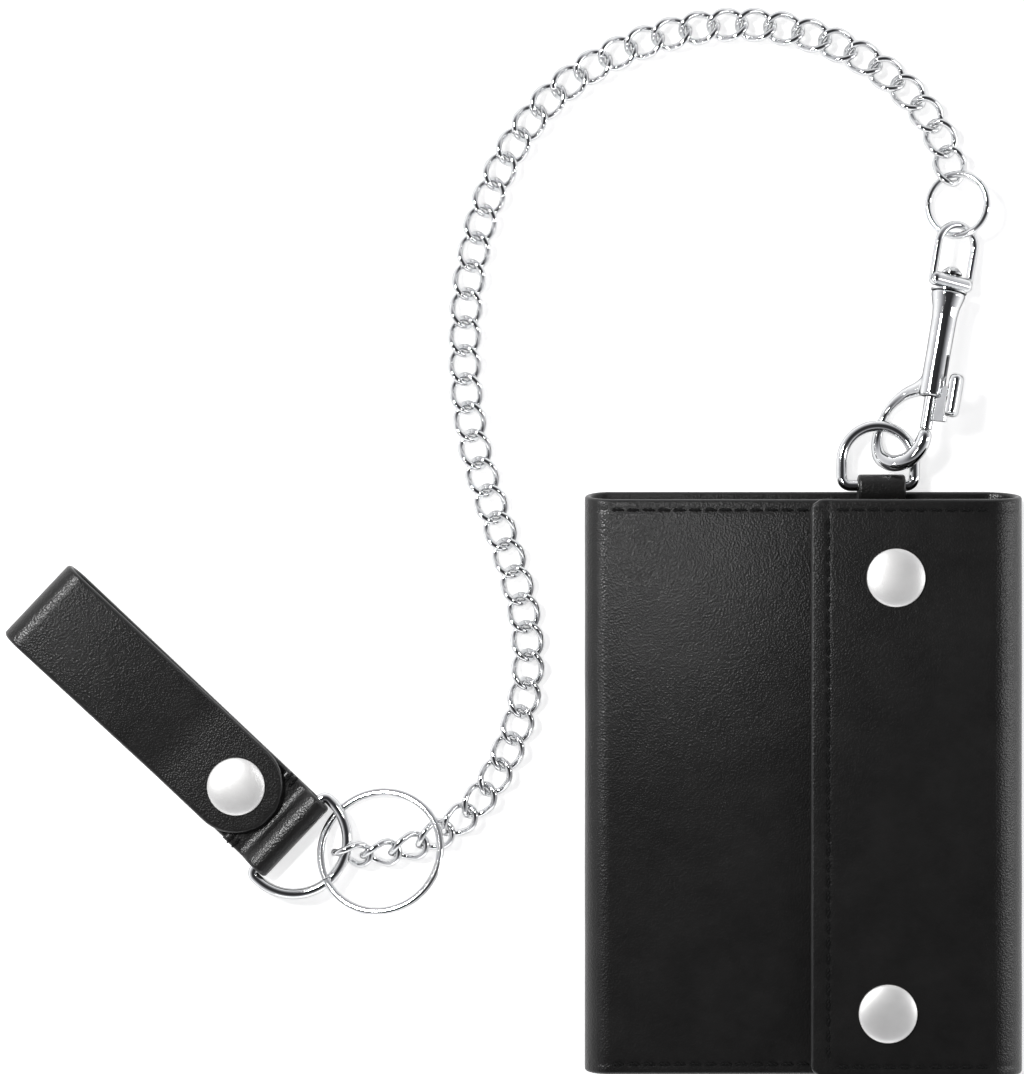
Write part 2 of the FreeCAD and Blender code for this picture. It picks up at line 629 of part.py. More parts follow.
def chain():
    """The curb chain, its links in groups that hinge on each other."""
    link, pivots = chain_link(), chain_pivots()
    places = []
    for index in range(LINKS):
        start, end = pivots[index], pivots[index + 1]
        along = (end - start).normalize()
        roll = Rotation(Vector(1, 0, 0), ROLL_STEP * max(0, index + 1 - ROLL_START))
        heading = Rotation(Vector(0, 0, 1), math.degrees(math.atan2(along.y, along.x)))
        place = Placement((start + end) * 0.5, heading.multiply(roll))
        copy = link.copy()
        copy.Placement = place
        lift = LIFT * max(0, 1 - index / LIFTED_LINKS)
        place.Base.z = 0.05 - copy.BoundBox.ZMin + lift
        places.append(place)
    groups = LINKS // LINKS_PER_GROUP
    for index in range(groups):
        first = index * LINKS_PER_GROUP
        last = LINKS if index == groups - 1 else first + LINKS_PER_GROUP
        group(f"chain_links_{index + 1:02d}", link, places[first:last])


# ---------------------------------------------------------------- belt loop
STRAP_END = Vector(-165.4, 39.4, 0)  # outside of the loop's fold, on the strap's middle line
STRAP_AIM = Vector(0.7271, -0.6865, 0)
BELT_RING_RISE = 5.0


def strap_frame():
    """X along the strap to its D-ring, Y across it, Z up."""
    return frame(STRAP_END, STRAP_AIM, Vector(-STRAP_AIM.y, STRAP_AIM.x, 0))


def in_strap(x, z, rotation=Rotation()):
    return strap_frame().multiply(Placement(Vector(x, 0, z), rotation))


BAR_INNER = "(dring_wire / 2 + 0.1)"
BAR_OUTER = f"({BAR_INNER} + strap_leather)"
BAR_U = f"(strap_length - {BAR_OUTER})"


def belt_strap():
    """The strap: base folded round the D-ring, loop fold, and the top layer that unsnaps."""
    foot, crest = f"{BAR_U} - 4.6", f"{BAR_U} - 1"
    base = padded("strap_base", "XZ_Plane", [
        ("loop_radius", "0"), (BAR_U, "0"), (f"{BAR_U} + {BAR_OUTER}", BAR_OUTER),
        (BAR_U, f"2 * {BAR_OUTER}"), (crest, f"2 * {BAR_OUTER}"),
        (foot, "2 * strap_leather + 0.05"),
        ("return_end", "2 * strap_leather + 0.05"), ("return_end", "strap_leather + 0.05"),
        (foot, "strap_leather + 0.05"), (crest, f"{BAR_OUTER} + {BAR_INNER}"),
        (BAR_U, f"{BAR_OUTER} + {BAR_INNER}"),
        (f"{BAR_U} + {BAR_INNER}", BAR_OUTER), (BAR_U, "strap_leather"),
        ("loop_radius", "strap_leather")], "strap_width",
        {1: f"-{BAR_OUTER}", 2: f"-{BAR_OUTER}", 10: BAR_INNER, 11: BAR_INNER}, middle=True)
    holed(base, [("strap_snap", "0")], "shank_radius + 0.1", "5.8")
    holed(base, [("strap_snap", "0")], "flange_radius + 0.2", "1")
    base.Placement = strap_frame()
    keep(base, "strap_base")
    low = "(strap_leather + snap_gap)"
    top = padded("strap_top", "XZ_Plane", [
        ("loop_radius", "2 * loop_radius - strap_leather"), ("strap_slope_end", low),
        ("strap_tip", low), ("strap_tip", f"{low} + strap_leather"),
        ("strap_slope_end", f"{low} + strap_leather"), ("loop_radius", "2 * loop_radius")],
        "strap_width", middle=True)
    half = dim("strap_width") / 2
    rounded(top, [(dim("strap_tip"), -half), (dim("strap_tip"), half)], "strap_width / 2 - 0.1")
    holed(top, [("strap_snap", "0")], "post_radius + 0.1")
    top.Placement = strap_frame()
    keep(top, "strap_top")
    strap_fold()


def strap_fold():
    """The bend where a belt passes through, half a tube of leather."""
    width, radius = dim("strap_width"), dim("loop_radius")
    outer = Part.makeCylinder(radius, width, Vector(), Vector(0, 0, 1), 180)
    bend = outer.cut(Part.makeCylinder(radius - dim("strap_leather"), width))
    turn = Rotation(Vector(1, 0, 0), 90).multiply(Rotation(Vector(0, 0, 1), 90))
    place = Placement(Vector(radius, width / 2, radius), turn)
    solid_node("strap_fold", bend, strap_frame().multiply(place))


def belt_d_ring():
    rise = math.radians(BELT_RING_RISE)
    where = in_strap(number(BAR_U), number(BAR_OUTER)).multiply(
        frame(Vector(), Vector(0, -1, 0), Vector(math.cos(rise), 0, math.sin(rise))))
    d_ring("belt", where)


KEY_RING_CENTRE = Vector(-91.6, -15.3, 6.06)
KEY_RING_SLOPES = 0.21, -0.37  # how steeply it rises along X and along Y
KEY_RING_STEP_AT = 210         # where the wire steps up from one turn to the next


def key_ring():
    """A split ring: one flat wire wound twice, stepping up between its two turns."""
    half, coil, radius = dim("key_ring_width") / 2, dim("key_ring_coil"), dim("key_ring_radius")
    step_start, step_end, play = 345, 375, 0.02

    def section(angle, height):
        soft = [(half, 0.15), (half - 0.25, coil / 2 - play), (-half + 0.25, coil / 2 - play),
                (-half, 0.15)]
        outline = soft + [(-x, -z) for x, z in soft]
        points = [Vector(radius + x, 0, height + z) for x, z in outline]
        wire = Part.makePolygon(points + points[:1])
        wire.rotate(Vector(), Vector(0, 0, 1), angle)
        return wire

    def turn(start, end, height):
        return Part.Face(section(start, height)).revolve(Vector(), Vector(0, 0, 1), end - start)

    steps = 5
    ramp = Part.makeLoft([
        section(step_start + (step_end - step_start) * k / steps, coil * (k / steps - 0.5))
        for k in range(steps + 1)], True, True)
    lower = turn(step_end - 359, step_start, -coil / 2)
    upper = turn(step_end, step_start + 359, coil / 2)
    ring = lower.fuse([ramp, upper])
    along_x, along_y = KEY_RING_SLOPES
    where = frame(KEY_RING_CENTRE, Vector(1, 0, along_x), Vector(0, 1, along_y))
    turned_to = Rotation(Vector(0, 0, 1), KEY_RING_STEP_AT)
    solid_node("key_ring", ring, where.multiply(Placement(Vector(), turned_to)))


# ---------------------------------------------------------------- thread
def stitch_row(start, end):
    """Placements of stitches a pitch apart, lying along the row."""
    run = end - start
    count = int(run.Length / dim("stitch_pitch"))
    along = Vector(run).normalize()
    turn = Rotation(Vector(0, 0, 1), along)
    lead = (run.Length - count * dim("stitch_pitch")) / 2 + dim("stitch_pitch") / 2
    return [Placement(start + along * (lead + k * dim("stitch_pitch") - dim("stitch_length") / 2), turn)
            for k in range(count)]


def stitches():
    """The sewn edges that show: flap, cover and belt strap."""
    thread = Part.makeCylinder(dim("thread") / 2, dim("stitch_length"))
    rest = dim("thread") / 2 + 0.02
    top, bottom = number(f"{HALF} - edge_drop"), -number(HALF)
    inset, wide = dim("stitch_inset"), dim("flap_stitch_inset")
    height = number(FLAP_TOP) + rest
    left, right = dim("flap_edge_x") + wide, number(RIGHT_HINGE_X)
    flap = stitch_row(Vector(left, bottom + inset, height), Vector(left, top - inset, height))
    for y in (bottom + inset, top - inset):
        flap += stitch_row(Vector(left + 1, y, height), Vector(right, y, height))
    group("flap_stitches", thread, flap)
    height = number(COVER_TOP) + rest
    cover = []
    for y in (bottom + inset, top - inset):
        cover += stitch_row(Vector(number(LEFT_HINGE_X), y, height),
                            Vector(dim("cover_edge_x") - inset, y, height))
    group("cover_stitches", thread, cover)
    height = 2 * dim("strap_leather") + 0.05 + rest
    first, apart, start, size = 66.1, 1.4, dim("strap_width") / 2 - 2.2, 1.8
    strap = [in_strap(first + apart * k, height, Rotation(Vector(0, 0, 1), Vector(0, side, 0)))
             .multiply(Placement(Vector(0, 0, start), Rotation()))
             for side in (-1, 1) for k in range(2)]
    group("strap_stitches", Part.makeCylinder(dim("thread") / 2, size), strap)


# ---------------------------------------------------------------- the whole wallet
def build():
    wallet_shell()
    wallet_inside()
    ring_tab()
    bar = Vector(WALLET_RING_X, dim("bar_y"), dim("bar_z"))
    d_ring("wallet", frame(bar, Vector(1, 0, 0), Vector(0, 1, WALLET_RING_SLOPE)))
    cover_top = number(COVER_TOP)
    flap_places = [Placement(Vector(number(x), number(y), cover_top), Rotation())
                   for x, y in FLAP_SNAPS]
    snap_set("flap", "leather + lining", 1.8, flap_places)
    hook_body()
    hook_bolt()
    hook_spring()
    swivel()
    jump_ring()
    chain()
    belt_strap()
    snap_set("strap", "strap_leather", 1.4, [in_strap(dim("strap_snap"), dim("strap_leather"))])
    belt_d_ring()
    key_ring()
    stitches()


def check_and_write():
    """Stops on a failed object, then writes every node's own file."""
    doc.recompute()
    for obj in doc.Objects:
        if "Invalid" in obj.State or "Error" in obj.State:
            raise RuntimeError(f"{obj.Label} failed: {obj.State}")
    os.makedirs("parts", exist_ok=True)
    for obj in nodes:
        if obj.Shape.isNull() or not obj.Shape.isValid():
            raise RuntimeError(f"{obj.Label} has no valid shape")
        obj.Shape.exportStep(f"parts/{obj.Label}.step")
    print(len(nodes), "nodes written")


build()
check_and_write()
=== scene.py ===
"""Looks for the chain wallet: leather, thread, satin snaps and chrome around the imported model."""
import json
import math

import bmesh
import bpy
import numpy as np
from mathutils import Matrix, Vector, noise


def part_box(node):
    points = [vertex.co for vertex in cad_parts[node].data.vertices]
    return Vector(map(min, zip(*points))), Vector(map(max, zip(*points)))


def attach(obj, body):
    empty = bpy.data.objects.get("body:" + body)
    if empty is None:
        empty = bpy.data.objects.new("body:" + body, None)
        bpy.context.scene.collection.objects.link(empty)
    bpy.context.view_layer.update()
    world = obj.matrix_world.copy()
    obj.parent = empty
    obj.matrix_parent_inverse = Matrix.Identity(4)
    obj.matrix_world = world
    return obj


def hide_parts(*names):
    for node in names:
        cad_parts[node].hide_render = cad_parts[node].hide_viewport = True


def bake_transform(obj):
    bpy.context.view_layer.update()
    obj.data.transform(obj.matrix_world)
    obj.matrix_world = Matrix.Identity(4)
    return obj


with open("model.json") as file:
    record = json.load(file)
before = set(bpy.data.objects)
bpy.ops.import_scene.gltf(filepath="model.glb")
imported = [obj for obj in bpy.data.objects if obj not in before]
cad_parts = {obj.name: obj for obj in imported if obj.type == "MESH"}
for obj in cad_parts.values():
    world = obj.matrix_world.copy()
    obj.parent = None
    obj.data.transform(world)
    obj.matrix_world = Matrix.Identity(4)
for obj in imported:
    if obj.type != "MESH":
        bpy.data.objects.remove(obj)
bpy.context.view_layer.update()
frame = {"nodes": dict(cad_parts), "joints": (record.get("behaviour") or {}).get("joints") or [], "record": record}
MM = 0.001
JOINTS = {joint["name"]: joint for joint in frame["joints"]}


def pivot(name):
    """A joint's point, in metres."""
    return Vector(JOINTS[name]["pos_m"])


# ---------------------------------------------------------------- materials
class Shader:
    """A small helper that builds one procedural material."""

    def __init__(self, name):
        self.material = bpy.data.materials.new(name)
        self.material.use_nodes = True
        self.tree = self.material.node_tree
        self.surface = self.tree.nodes["Principled BSDF"]
        self.place = self.add("ShaderNodeTexCoord").outputs["Object"]

    def add(self, kind, **values):
        node = self.tree.nodes.new(kind)
        for key, value in values.items():
            setattr(node, key, value)
        return node

    def link(self, source, target):
        self.tree.links.new(source, target)

    def set(self, **values):
        for key, value in values.items():
            self.surface.inputs[key.replace("_", " ")].default_value = value

    def noise(self, size, detail=4.0, stretch=(1, 1, 1)):
        """Cloudy noise whose features are about size metres."""
        mapping = self.add("ShaderNodeMapping")
        mapping.inputs["Scale"].default_value = [s / size for s in stretch]
        self.link(self.place, mapping.inputs["Vector"])
        texture = self.add("ShaderNodeTexNoise")
        texture.inputs["Scale"].default_value = 1.0
        texture.inputs["Detail"].default_value = detail
        self.link(mapping.outputs["Vector"], texture.inputs["Vector"])
        return texture.outputs["Fac"]

    def cells(self, size):
        """Pebbled cells of about size metres."""
        mapping = self.add("ShaderNodeMapping")
        mapping.inputs["Scale"].default_value = [1 / size] * 3
        self.link(self.place, mapping.inputs["Vector"])
        texture = self.add("ShaderNodeTexVoronoi")
        texture.inputs["Scale"].default_value = 1.0
        self.link(mapping.outputs["Vector"], texture.inputs["Vector"])
        return texture.outputs["Distance"]

    def ramp(self, value, low, high, target):
        """Maps a 0 to 1 value to a range and sends it to a socket."""
        span = self.add("ShaderNodeMapRange")
        span.inputs["To Min"].default_value = low
        span.inputs["To Max"].default_value = high
        self.link(value, span.inputs["Value"])
        self.link(span.outputs["Result"], target)

    def tint(self, value, dark, light):
        """A colour between two, sent to the base colour."""
        ramp = self.add("ShaderNodeValToRGB")
        ramp.color_ramp.elements[0].color = (*dark, 1)
        ramp.color_ramp.elements[1].color = (*light, 1)
        ramp.color_ramp.elements[0].position = 0.3
        ramp.color_ramp.elements[1].position = 0.7
        self.link(value, ramp.inputs["Fac"])
        self.link(ramp.outputs["Color"], self.surface.inputs["Base Color"])

    def bump(self, value, height, strength=1.0):
        """Adds relief of a height in metres, on top of any relief there already is."""
        bump = self.add("ShaderNodeBump")
        bump.inputs["Distance"].default_value = height
        bump.inputs["Strength"].default_value = strength
        self.link(value, bump.inputs["Height"])
        before = self.surface.inputs["Normal"].links
        if before:
            self.link(before[0].from_socket, bump.inputs["Normal"])
        self.link(bump.outputs["Normal"], self.surface.inputs["Normal"])


def black_leather():
    """Smooth black calf: fine pores, soft clouds in its gloss."""
    shader = Shader("black_leather")
    grain, clouds = shader.cells(0.42 * MM), shader.noise(9 * MM)
    creases = shader.noise(1.6 * MM, detail=8)
    shader.tint(clouds, (0.0055, 0.0053, 0.0052), (0.0095, 0.0092, 0.009))
    shader.ramp(creases, 0.27, 0.38, shader.surface.inputs["Roughness"])
    shader.bump(creases, 0.05 * MM, 0.6)
    shader.bump(grain, 0.075 * MM, 0.8)
    shader.set(Specular_IOR_Level=0.42)
    return shader.material


def edge_paint():
    """The glossy paint on cut edges, slightly lumpy."""
    shader = Shader("edge_paint")
    lumps = shader.noise(1.5 * MM)
    shader.tint(lumps, (0.006, 0.006, 0.006), (0.012, 0.012, 0.012))
    shader.ramp(lumps, 0.28, 0.42, shader.surface.inputs["Roughness"])
    shader.bump(lumps, 0.08 * MM, 0.5)
    return shader.material


def dark_lining():
    """Thin matt leather inside the wallet."""
    shader = Shader("dark_lining")
    grain, clouds = shader.cells(0.6 * MM), shader.noise(6 * MM)
    shader.tint(clouds, (0.016, 0.0155, 0.015), (0.026, 0.025, 0.024))
    shader.ramp(clouds, 0.55, 0.72, shader.surface.inputs["Roughness"])
    shader.bump(grain, 0.06 * MM, 0.6)
    return shader.material


def chrome():
    """Bright plated steel with faint handling marks."""
    shader = Shader("polished_chrome")
    haze, marks = shader.noise(4 * MM), shader.noise(0.5 * MM, stretch=(1, 1, 0.15))
    shader.tint(haze, (0.74, 0.75, 0.76), (0.84, 0.845, 0.85))
    shader.ramp(haze, 0.05, 0.11, shader.surface.inputs["Roughness"])
    shader.bump(marks, 0.004 * MM, 0.35)
    shader.set(Metallic=1.0)
    shader.surface.inputs["Specular Tint"].default_value = (0.08, 0.08, 0.08, 1)
    return shader.material


def satin_nickel():
    """Brushed nickel of the snap caps, with a little grain and small dents."""
    shader = Shader("satin_nickel")
    grain, wear = shader.noise(0.25 * MM, detail=6), shader.noise(5 * MM)
    shader.tint(wear, (0.80, 0.795, 0.785), (0.9, 0.895, 0.885))
    shader.ramp(grain, 0.36, 0.5, shader.surface.inputs["Roughness"])
    shader.bump(grain, 0.012 * MM, 0.5)
    shader.set(Metallic=0.7)
    return shader.material


def spring_wire():
    shader = Shader("spring_wire")
    drawn = shader.noise(0.6 * MM)
    shader.tint(drawn, (0.42, 0.42, 0.42), (0.58, 0.58, 0.58))
    shader.ramp(drawn, 0.25, 0.4, shader.surface.inputs["Roughness"])
    shader.set(Metallic=1.0)
    return shader.material


def black_thread():
    """Waxed thread: fine twisted strands."""
    shader = Shader("black_thread")
    strands = shader.noise(0.16 * MM, detail=3)
    shader.tint(strands, (0.0015, 0.0015, 0.0015), (0.006, 0.006, 0.006))
    shader.ramp(strands, 0.45, 0.65, shader.surface.inputs["Roughness"])
    shader.bump(strands, 0.05 * MM, 0.8)
    shader.set(Specular_IOR_Level=0.12)
    return shader.material


LEATHER, EDGE, LINING = black_leather(), edge_paint(), dark_lining()
CHROME, NICKEL, SPRING, THREAD = chrome(), satin_nickel(), spring_wire(), black_thread()
BY_SLOT = {"black_leather": LEATHER, "dark_lining": LINING, "polished_chrome": CHROME,
           "satin_nickel": NICKEL, "spring_steel": SPRING, "black_thread": THREAD}


def dress_cad_nodes():
    """Every CAD node takes the detailed material of its slot."""
    for entry in frame["record"]["subparts"]:
        node = frame["nodes"][entry["node"]]
        for slot in node.material_slots:
            slot.material = BY_SLOT[entry["material_slot"]]


# ---------------------------------------------------------------- mesh helpers
def new_piece(name, vertices, faces, materials, smooth=True):
    """A mesh object from coordinates in metres."""
    mesh = bpy.data.meshes.new(name)
    mesh.from_pydata([tuple(v) for v in vertices], [], faces)
    mesh.validate()
    for material in materials:
        mesh.materials.append(material)
    piece = bpy.data.objects.new(name, mesh)
    bpy.context.scene.collection.objects.link(piece)
    if smooth:
        mesh.shade_smooth()
    return piece


def tube(points, radius, sides=20, closed=True):
    """Vertices and faces of a round wire along points, with a frame that doesn't twist."""
    points = [Vector(p) for p in points]
    count = len(points)
    vertices, faces = [], []
    side = None
    for index, point in enumerate(points):
        ahead = points[(index + 1) % count] if closed or index < count - 1 else point
        behind = points[index - 1] if closed or index else point
        along = (ahead - behind).normalized()
        if side is None:
            side = along.orthogonal().normalized()
        side = (side - along * side.dot(along)).normalized()
        up = along.cross(side)
        size = radius if np.isscalar(radius) else radius[index]
        for k in range(sides):
            angle = 2 * math.pi * k / sides
            vertices.append(point + side * math.cos(angle) * size + up * math.sin(angle) * size)
    rings = count if closed else count - 1
    shift = 0
    if closed:
        first, last = vertices[0] - points[0], vertices[(count - 1) * sides] - points[-1]
        best = min(range(sides), key=lambda k: (vertices[k] - points[0] - last).length)
        shift = best
    for ring in range(rings):
        after = (ring + 1) % count
        turn = shift if closed and after == 0 else 0
        for k in range(sides):
            a, b = ring * sides + k, ring * sides + (k + 1) % sides
            c = after * sides + (k + 1 + turn) % sides
            d = after * sides + (k + turn) % sides
            faces.append((a, b, c, d))
    if not closed:
        faces.append(tuple(range(sides))[::-1])
        faces.append(tuple((count - 1) * sides + k for k in range(sides)))
    return vertices, faces


def joined(parts):
    """Several (vertices, faces) as one."""
    vertices, faces = [], []
    for some, loops in parts:
        base = len(vertices)
        vertices += some
        faces += [tuple(base + k for k in loop) for loop in loops]
    return vertices, faces


def lathe(profile, place, segments=72):
    """A turned shape: profile pairs of radius and height, from the axis out or back to it."""
    vertices, faces, rows = [], [], []
    for radius, height in profile:
        if radius < 1e-7:
            rows.append([len(vertices)])
            vertices.append(place @ Vector((0, 0, height)))
            continue
        rows.append([len(vertices) + k for k in range(segments)])
        for k in range(segments):
            angle = 2 * math.pi * k / segments
            vertices.append(place @ Vector((radius * math.cos(angle), radius * math.sin(angle), height)))
    for low, high in zip(rows, rows[1:]):
        for k in range(segments):
            m = (k + 1) % segments
            if len(low) == 1:
                faces.append((low[0], high[k], high[m]))
            elif len(high) == 1:
                faces.append((low[k], high[0], low[m]))
            else:
                faces.append((low[k], high[k], high[m], low[m]))
    return vertices, faces


def node_solids(name):
    """Each separate solid of a CAD node as its face-weighted centre and axes, longest first."""
    mesh = frame["nodes"][name].data
    work = bmesh.new()
    work.from_mesh(mesh)
    bmesh.ops.remove_doubles(work, verts=work.verts, dist=1e-7)
    seen, solids = set(), []
    for start in work.verts:
        if start in seen:
            continue
        stack, island = [start], []
        seen.add(start)
        while stack:
            vertex = stack.pop()
            island.append(vertex)
            for edge in vertex.link_edges:
                other = edge.other_vert(vertex)
                if other not in seen:
                    seen.add(other)
                    stack.append(other)
        faces = {face for vertex in island for face in vertex.link_faces}
        weights = np.array([face.calc_area() for face in faces])
        centres = np.array([face.calc_center_median() for face in faces])
        middle = (centres * weights[:, None]).sum(0) / weights.sum()
        spread = (centres - middle).T @ ((centres - middle) * weights[:, None])
        values, axes = np.linalg.eigh(spread)
        axes = axes[:, ::-1]
        if np.linalg.det(axes) < 0:
            axes[:, 2] *= -1
        solids.append((Vector(middle), Matrix(axes.tolist())))
    work.free()
    return solids


# ---------------------------------------------------------------- leather sheets
def edge_steps(width, rounding, step):
    """Distances from one edge to the other, close together where the edges are rounded."""
    near = [rounding * (1 - math.cos(math.pi / 2 * k / 5)) for k in range(6)]
    count = max(2, round((width - 2 * rounding) / step))
    middle = [rounding + (width - 2 * rounding) * k / count for k in range(1, count)]
    return near + middle + [width - d for d in reversed(near)]


def leather_sheet(name, path, sides, thickness, place, step=1.2 * MM, free=(True, True), corner=(0, 0),
                  grooves=(), groove_stations=(), groove_from=0.0, swell=0.0, seed=0.0):
    """A sheet of leather that follows a path, with rounded, painted edges.

    path gives (x, z, nx, nz) for a distance along the sheet, and has a length; sides gives the
    lowest and highest y for a share of the length. grooves are the heights of stitch rows and
    groove_stations the distances of stitch rows across the sheet.
    """
    length = path.length
    rounding = thickness / 2
    stations = edge_steps(length, rounding, step)
    stations = sorted(set(stations + list(path.extra) + [
        g + d for g in groove_stations for d in (-1.1 * MM, -0.55 * MM, 0, 0.55 * MM, 1.1 * MM)
        if 0 < g + d < length]))
    share = np.linspace(0, 1, max(8, round((sides(0.5)[1] - sides(0.5)[0]) / step)) + 1)
    width = sides(0.5)[1] - sides(0.5)[0]
    near = [rounding / width * (1 - math.cos(math.pi / 2 * k / 5)) for k in range(1, 6)]
    extra = [(g - sides(0.5)[0] + d) / width for g in grooves
             for d in (-1.1 * MM, -0.55 * MM, 0, 0.55 * MM, 1.1 * MM)]
    share = sorted(set(list(share) + near + [1 - n for n in near] + [e for e in extra if 0 < e < 1]))
    rows, columns = len(stations), len(share)
    outer, inner, gaps = [], [], []
    for s in stations:
        x, z, nx, nz = path(s)
        to_end = min(s if free[0] else length, length - s if free[1] else length)
        low, high = sides(s / length)
        for end, size in ((s, corner[0]), (length - s, corner[1])):
            if size and end < size:
                cut = size - math.sqrt(max(size * size - (size - end) ** 2, 0))
                low, high = low + cut, high - cut
        for v in share:
            y = low + (high - low) * v
            gap = min(y - low, high - y, to_end)
            soft = math.sqrt(max(1 - (1 - min(gap / rounding, 1)) ** 2, 0)) * rounding
            dip = sum(math.exp(-((y - g) / (0.45 * MM)) ** 2) for g in grooves if s > groove_from)
            dip += sum(math.exp(-((s - g) / (0.45 * MM)) ** 2) for g in groove_stations)
            drift = noise.noise(Vector((s * 28, y * 28, seed))) + 0.5 * noise.noise(
                Vector((s * 75, y * 75, seed + 9)))
            up = soft + drift * swell * min(gap / (4 * MM), 1) - 0.13 * MM * min(dip, 1) * soft / rounding
            outer.append(place @ Vector((x + nx * up, y, z + nz * up)))
            inner.append(place @ Vector((x - nx * soft, y, z - nz * soft)))
            gaps.append(gap)
    vertices = outer + inner
    shift = rows * columns
    faces = []
    for r in range(rows - 1):
        for c in range(columns - 1):
            a, b = r * columns + c, r * columns + c + 1
            d, e = a + columns, b + columns
            faces.append((a, b, e, d))
            faces.append((shift + a, shift + d, shift + e, shift + b))
    boundary = [r * columns for r in range(rows)]
    for line, flip in ((boundary, True), ([b + columns - 1 for b in boundary], False)):
        for a, b in zip(line, line[1:]):
            quad = (a, b, shift + b, shift + a)
            faces.append(quad[::-1] if flip else quad)
    first = list(range(columns))
    last = [(rows - 1) * columns + c for c in range(columns)]
    for line, flip in ((first, False), (last, True)):
        for a, b in zip(line, line[1:]):
            quad = (a, b, shift + b, shift + a)
            faces.append(quad[::-1] if flip else quad)
    piece = new_piece(name, vertices, faces, [LEATHER, EDGE])
    for polygon in piece.data.polygons:
        gap = sum(gaps[v % shift] for v in polygon.vertices) / len(polygon.vertices)
        polygon.material_index = 1 if gap < rounding * 0.7 else 0
    work = bmesh.new()
    work.from_mesh(piece.data)
    bmesh.ops.remove_doubles(work, verts=work.verts, dist=2e-6)
    bmesh.ops.recalc_face_normals(work, faces=work.faces)
    work.to_mesh(piece.data)
    work.free()
    return piece


class Bend:
    """A path in XZ made of straight runs and arcs, measured by its length."""

    def __init__(self, start, heading):
        self.parts, self.length = [], 0.0
        self.x, self.z = start
        self.heading = heading
        self.extra = []

    def line(self, run):
        self.parts.append((self.length, run, self.x, self.z, self.heading, 0.0))
        self.x += run * math.cos(self.heading)
        self.z += run * math.sin(self.heading)
        self.length += run
        return self

    def arc(self, radius, turn):
        """Turns by an angle in radians, to the left if positive."""
        run = radius * abs(turn)
        self.parts.append((self.length, run, self.x, self.z, self.heading, turn))
        self.extra += [self.length + run * k / 28 for k in range(29)]
        sign = math.copysign(1, turn)
        cx = self.x - radius * math.sin(self.heading) * sign
        cz = self.z + radius * math.cos(self.heading) * sign
        self.heading += turn
        self.x = cx + radius * math.sin(self.heading) * sign
        self.z = cz - radius * math.cos(self.heading) * sign
        self.length += run
        return self

    def __call__(self, s):
        part = next((p for p in reversed(self.parts) if s >= p[0] - 1e-9), self.parts[0])
        start, run, x, z, heading, turn = part
        along = min(s - start, run)
        if turn:
            radius, sign = run / abs(turn), math.copysign(1, turn)
            cx = x - radius * math.sin(heading) * sign
            cz = z + radius * math.cos(heading) * sign
            now = heading + turn * along / run
            x, z = cx + radius * math.sin(now) * sign, cz - radius * math.cos(now) * sign
        else:
            now = heading
            x, z = x + along * math.cos(now), z + along * math.sin(now)
        return x, z, -math.sin(now) * self.out, math.cos(now) * self.out

    out = 1


WALLET = Matrix.Identity(4)
LEATHER_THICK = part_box("back_panel")[1].z
HALF_SHEET = LEATHER_THICK / 2


def fold_share(path, from_length, to_length, before, after):
    """A top edge that steps down smoothly round a fold."""
    def sides(share):
        along = (share * path.length - from_length) / (to_length - from_length)
        along = min(max(along, 0), 1)
        return low, before + (after - before) * along * along * (3 - 2 * along)
    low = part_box("back_panel")[0].y
    return sides


def shell_half(name, panel, hinge, right, stitch_node, corner):
    """Half of the back, a fold, and the panel that folds over: one piece of leather."""
    back, front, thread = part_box("back_panel"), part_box(panel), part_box(stitch_node)
    axis = pivot(hinge)
    radius = axis.z - HALF_SHEET
    path = Bend((0, HALF_SHEET), 0 if right else math.pi)
    path.out = -1 if right else 1
    path.line(abs(axis.x))
    bent_from = path.length
    path.arc(radius, math.pi if right else -math.pi)
    bent_to = path.length
    free_x = front[0].x if right else front[1].x
    path.line(abs(free_x - axis.x))
    sides = fold_share(path, bent_from, bent_to, back[1].y, front[1].y)
    half_thread = 0.3 * MM
    rows = (thread[0].y + half_thread, thread[1].y - half_thread)
    across = [path.length - abs(thread[0].x + half_thread - free_x)] if right else []
    piece = leather_sheet(name, path, sides, LEATHER_THICK, WALLET, free=(False, True),
                          corner=(0, corner), grooves=rows, groove_stations=across,
                          groove_from=bent_from + 0.7 * (bent_to - bent_from), swell=0.1 * MM,
                          seed=3.0 if right else 8.0)
    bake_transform(piece)
    return piece


def wallet_leather():
    """The outer leather, cut unseen at the middle of the back."""
    left = shell_half("cover_leather", "cover_panel", "cover_hinge", False,
                      "cover_stitches", 2.5 * MM)
    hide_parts("cover_panel", "left_fold", "back_panel")
    right = shell_half("flap_leather", "flap_panel", "flap_hinge", True,
                       "flap_stitches", 2.8 * MM)
    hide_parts("flap_panel", "right_fold")


# ---------------------------------------------------------------- belt loop and ring tab
def strap_place():
    """X along the strap from its fold to its ring, Y across it, Z up from the table."""
    loop, bar = pivot("strap_unsnap"), pivot("belt_loop_on_ring")
    along = Vector((bar.x - loop.x, bar.y - loop.y, 0)).normalized()
    across = Vector((0, 0, 1)).cross(along)
    origin = Vector((loop.x, loop.y, 0)) - along * loop.z
    return Matrix((along, across, (0, 0, 1))).transposed().to_4x4(), origin


def s_curve(path, run, rise):
    """Steps the path aside by rise over a run, with two equal arcs."""
    turn = 2 * math.atan2(abs(rise), run)
    radius = run / (2 * math.sin(turn))
    path.arc(radius, math.copysign(turn, rise)).arc(radius, -math.copysign(turn, rise))


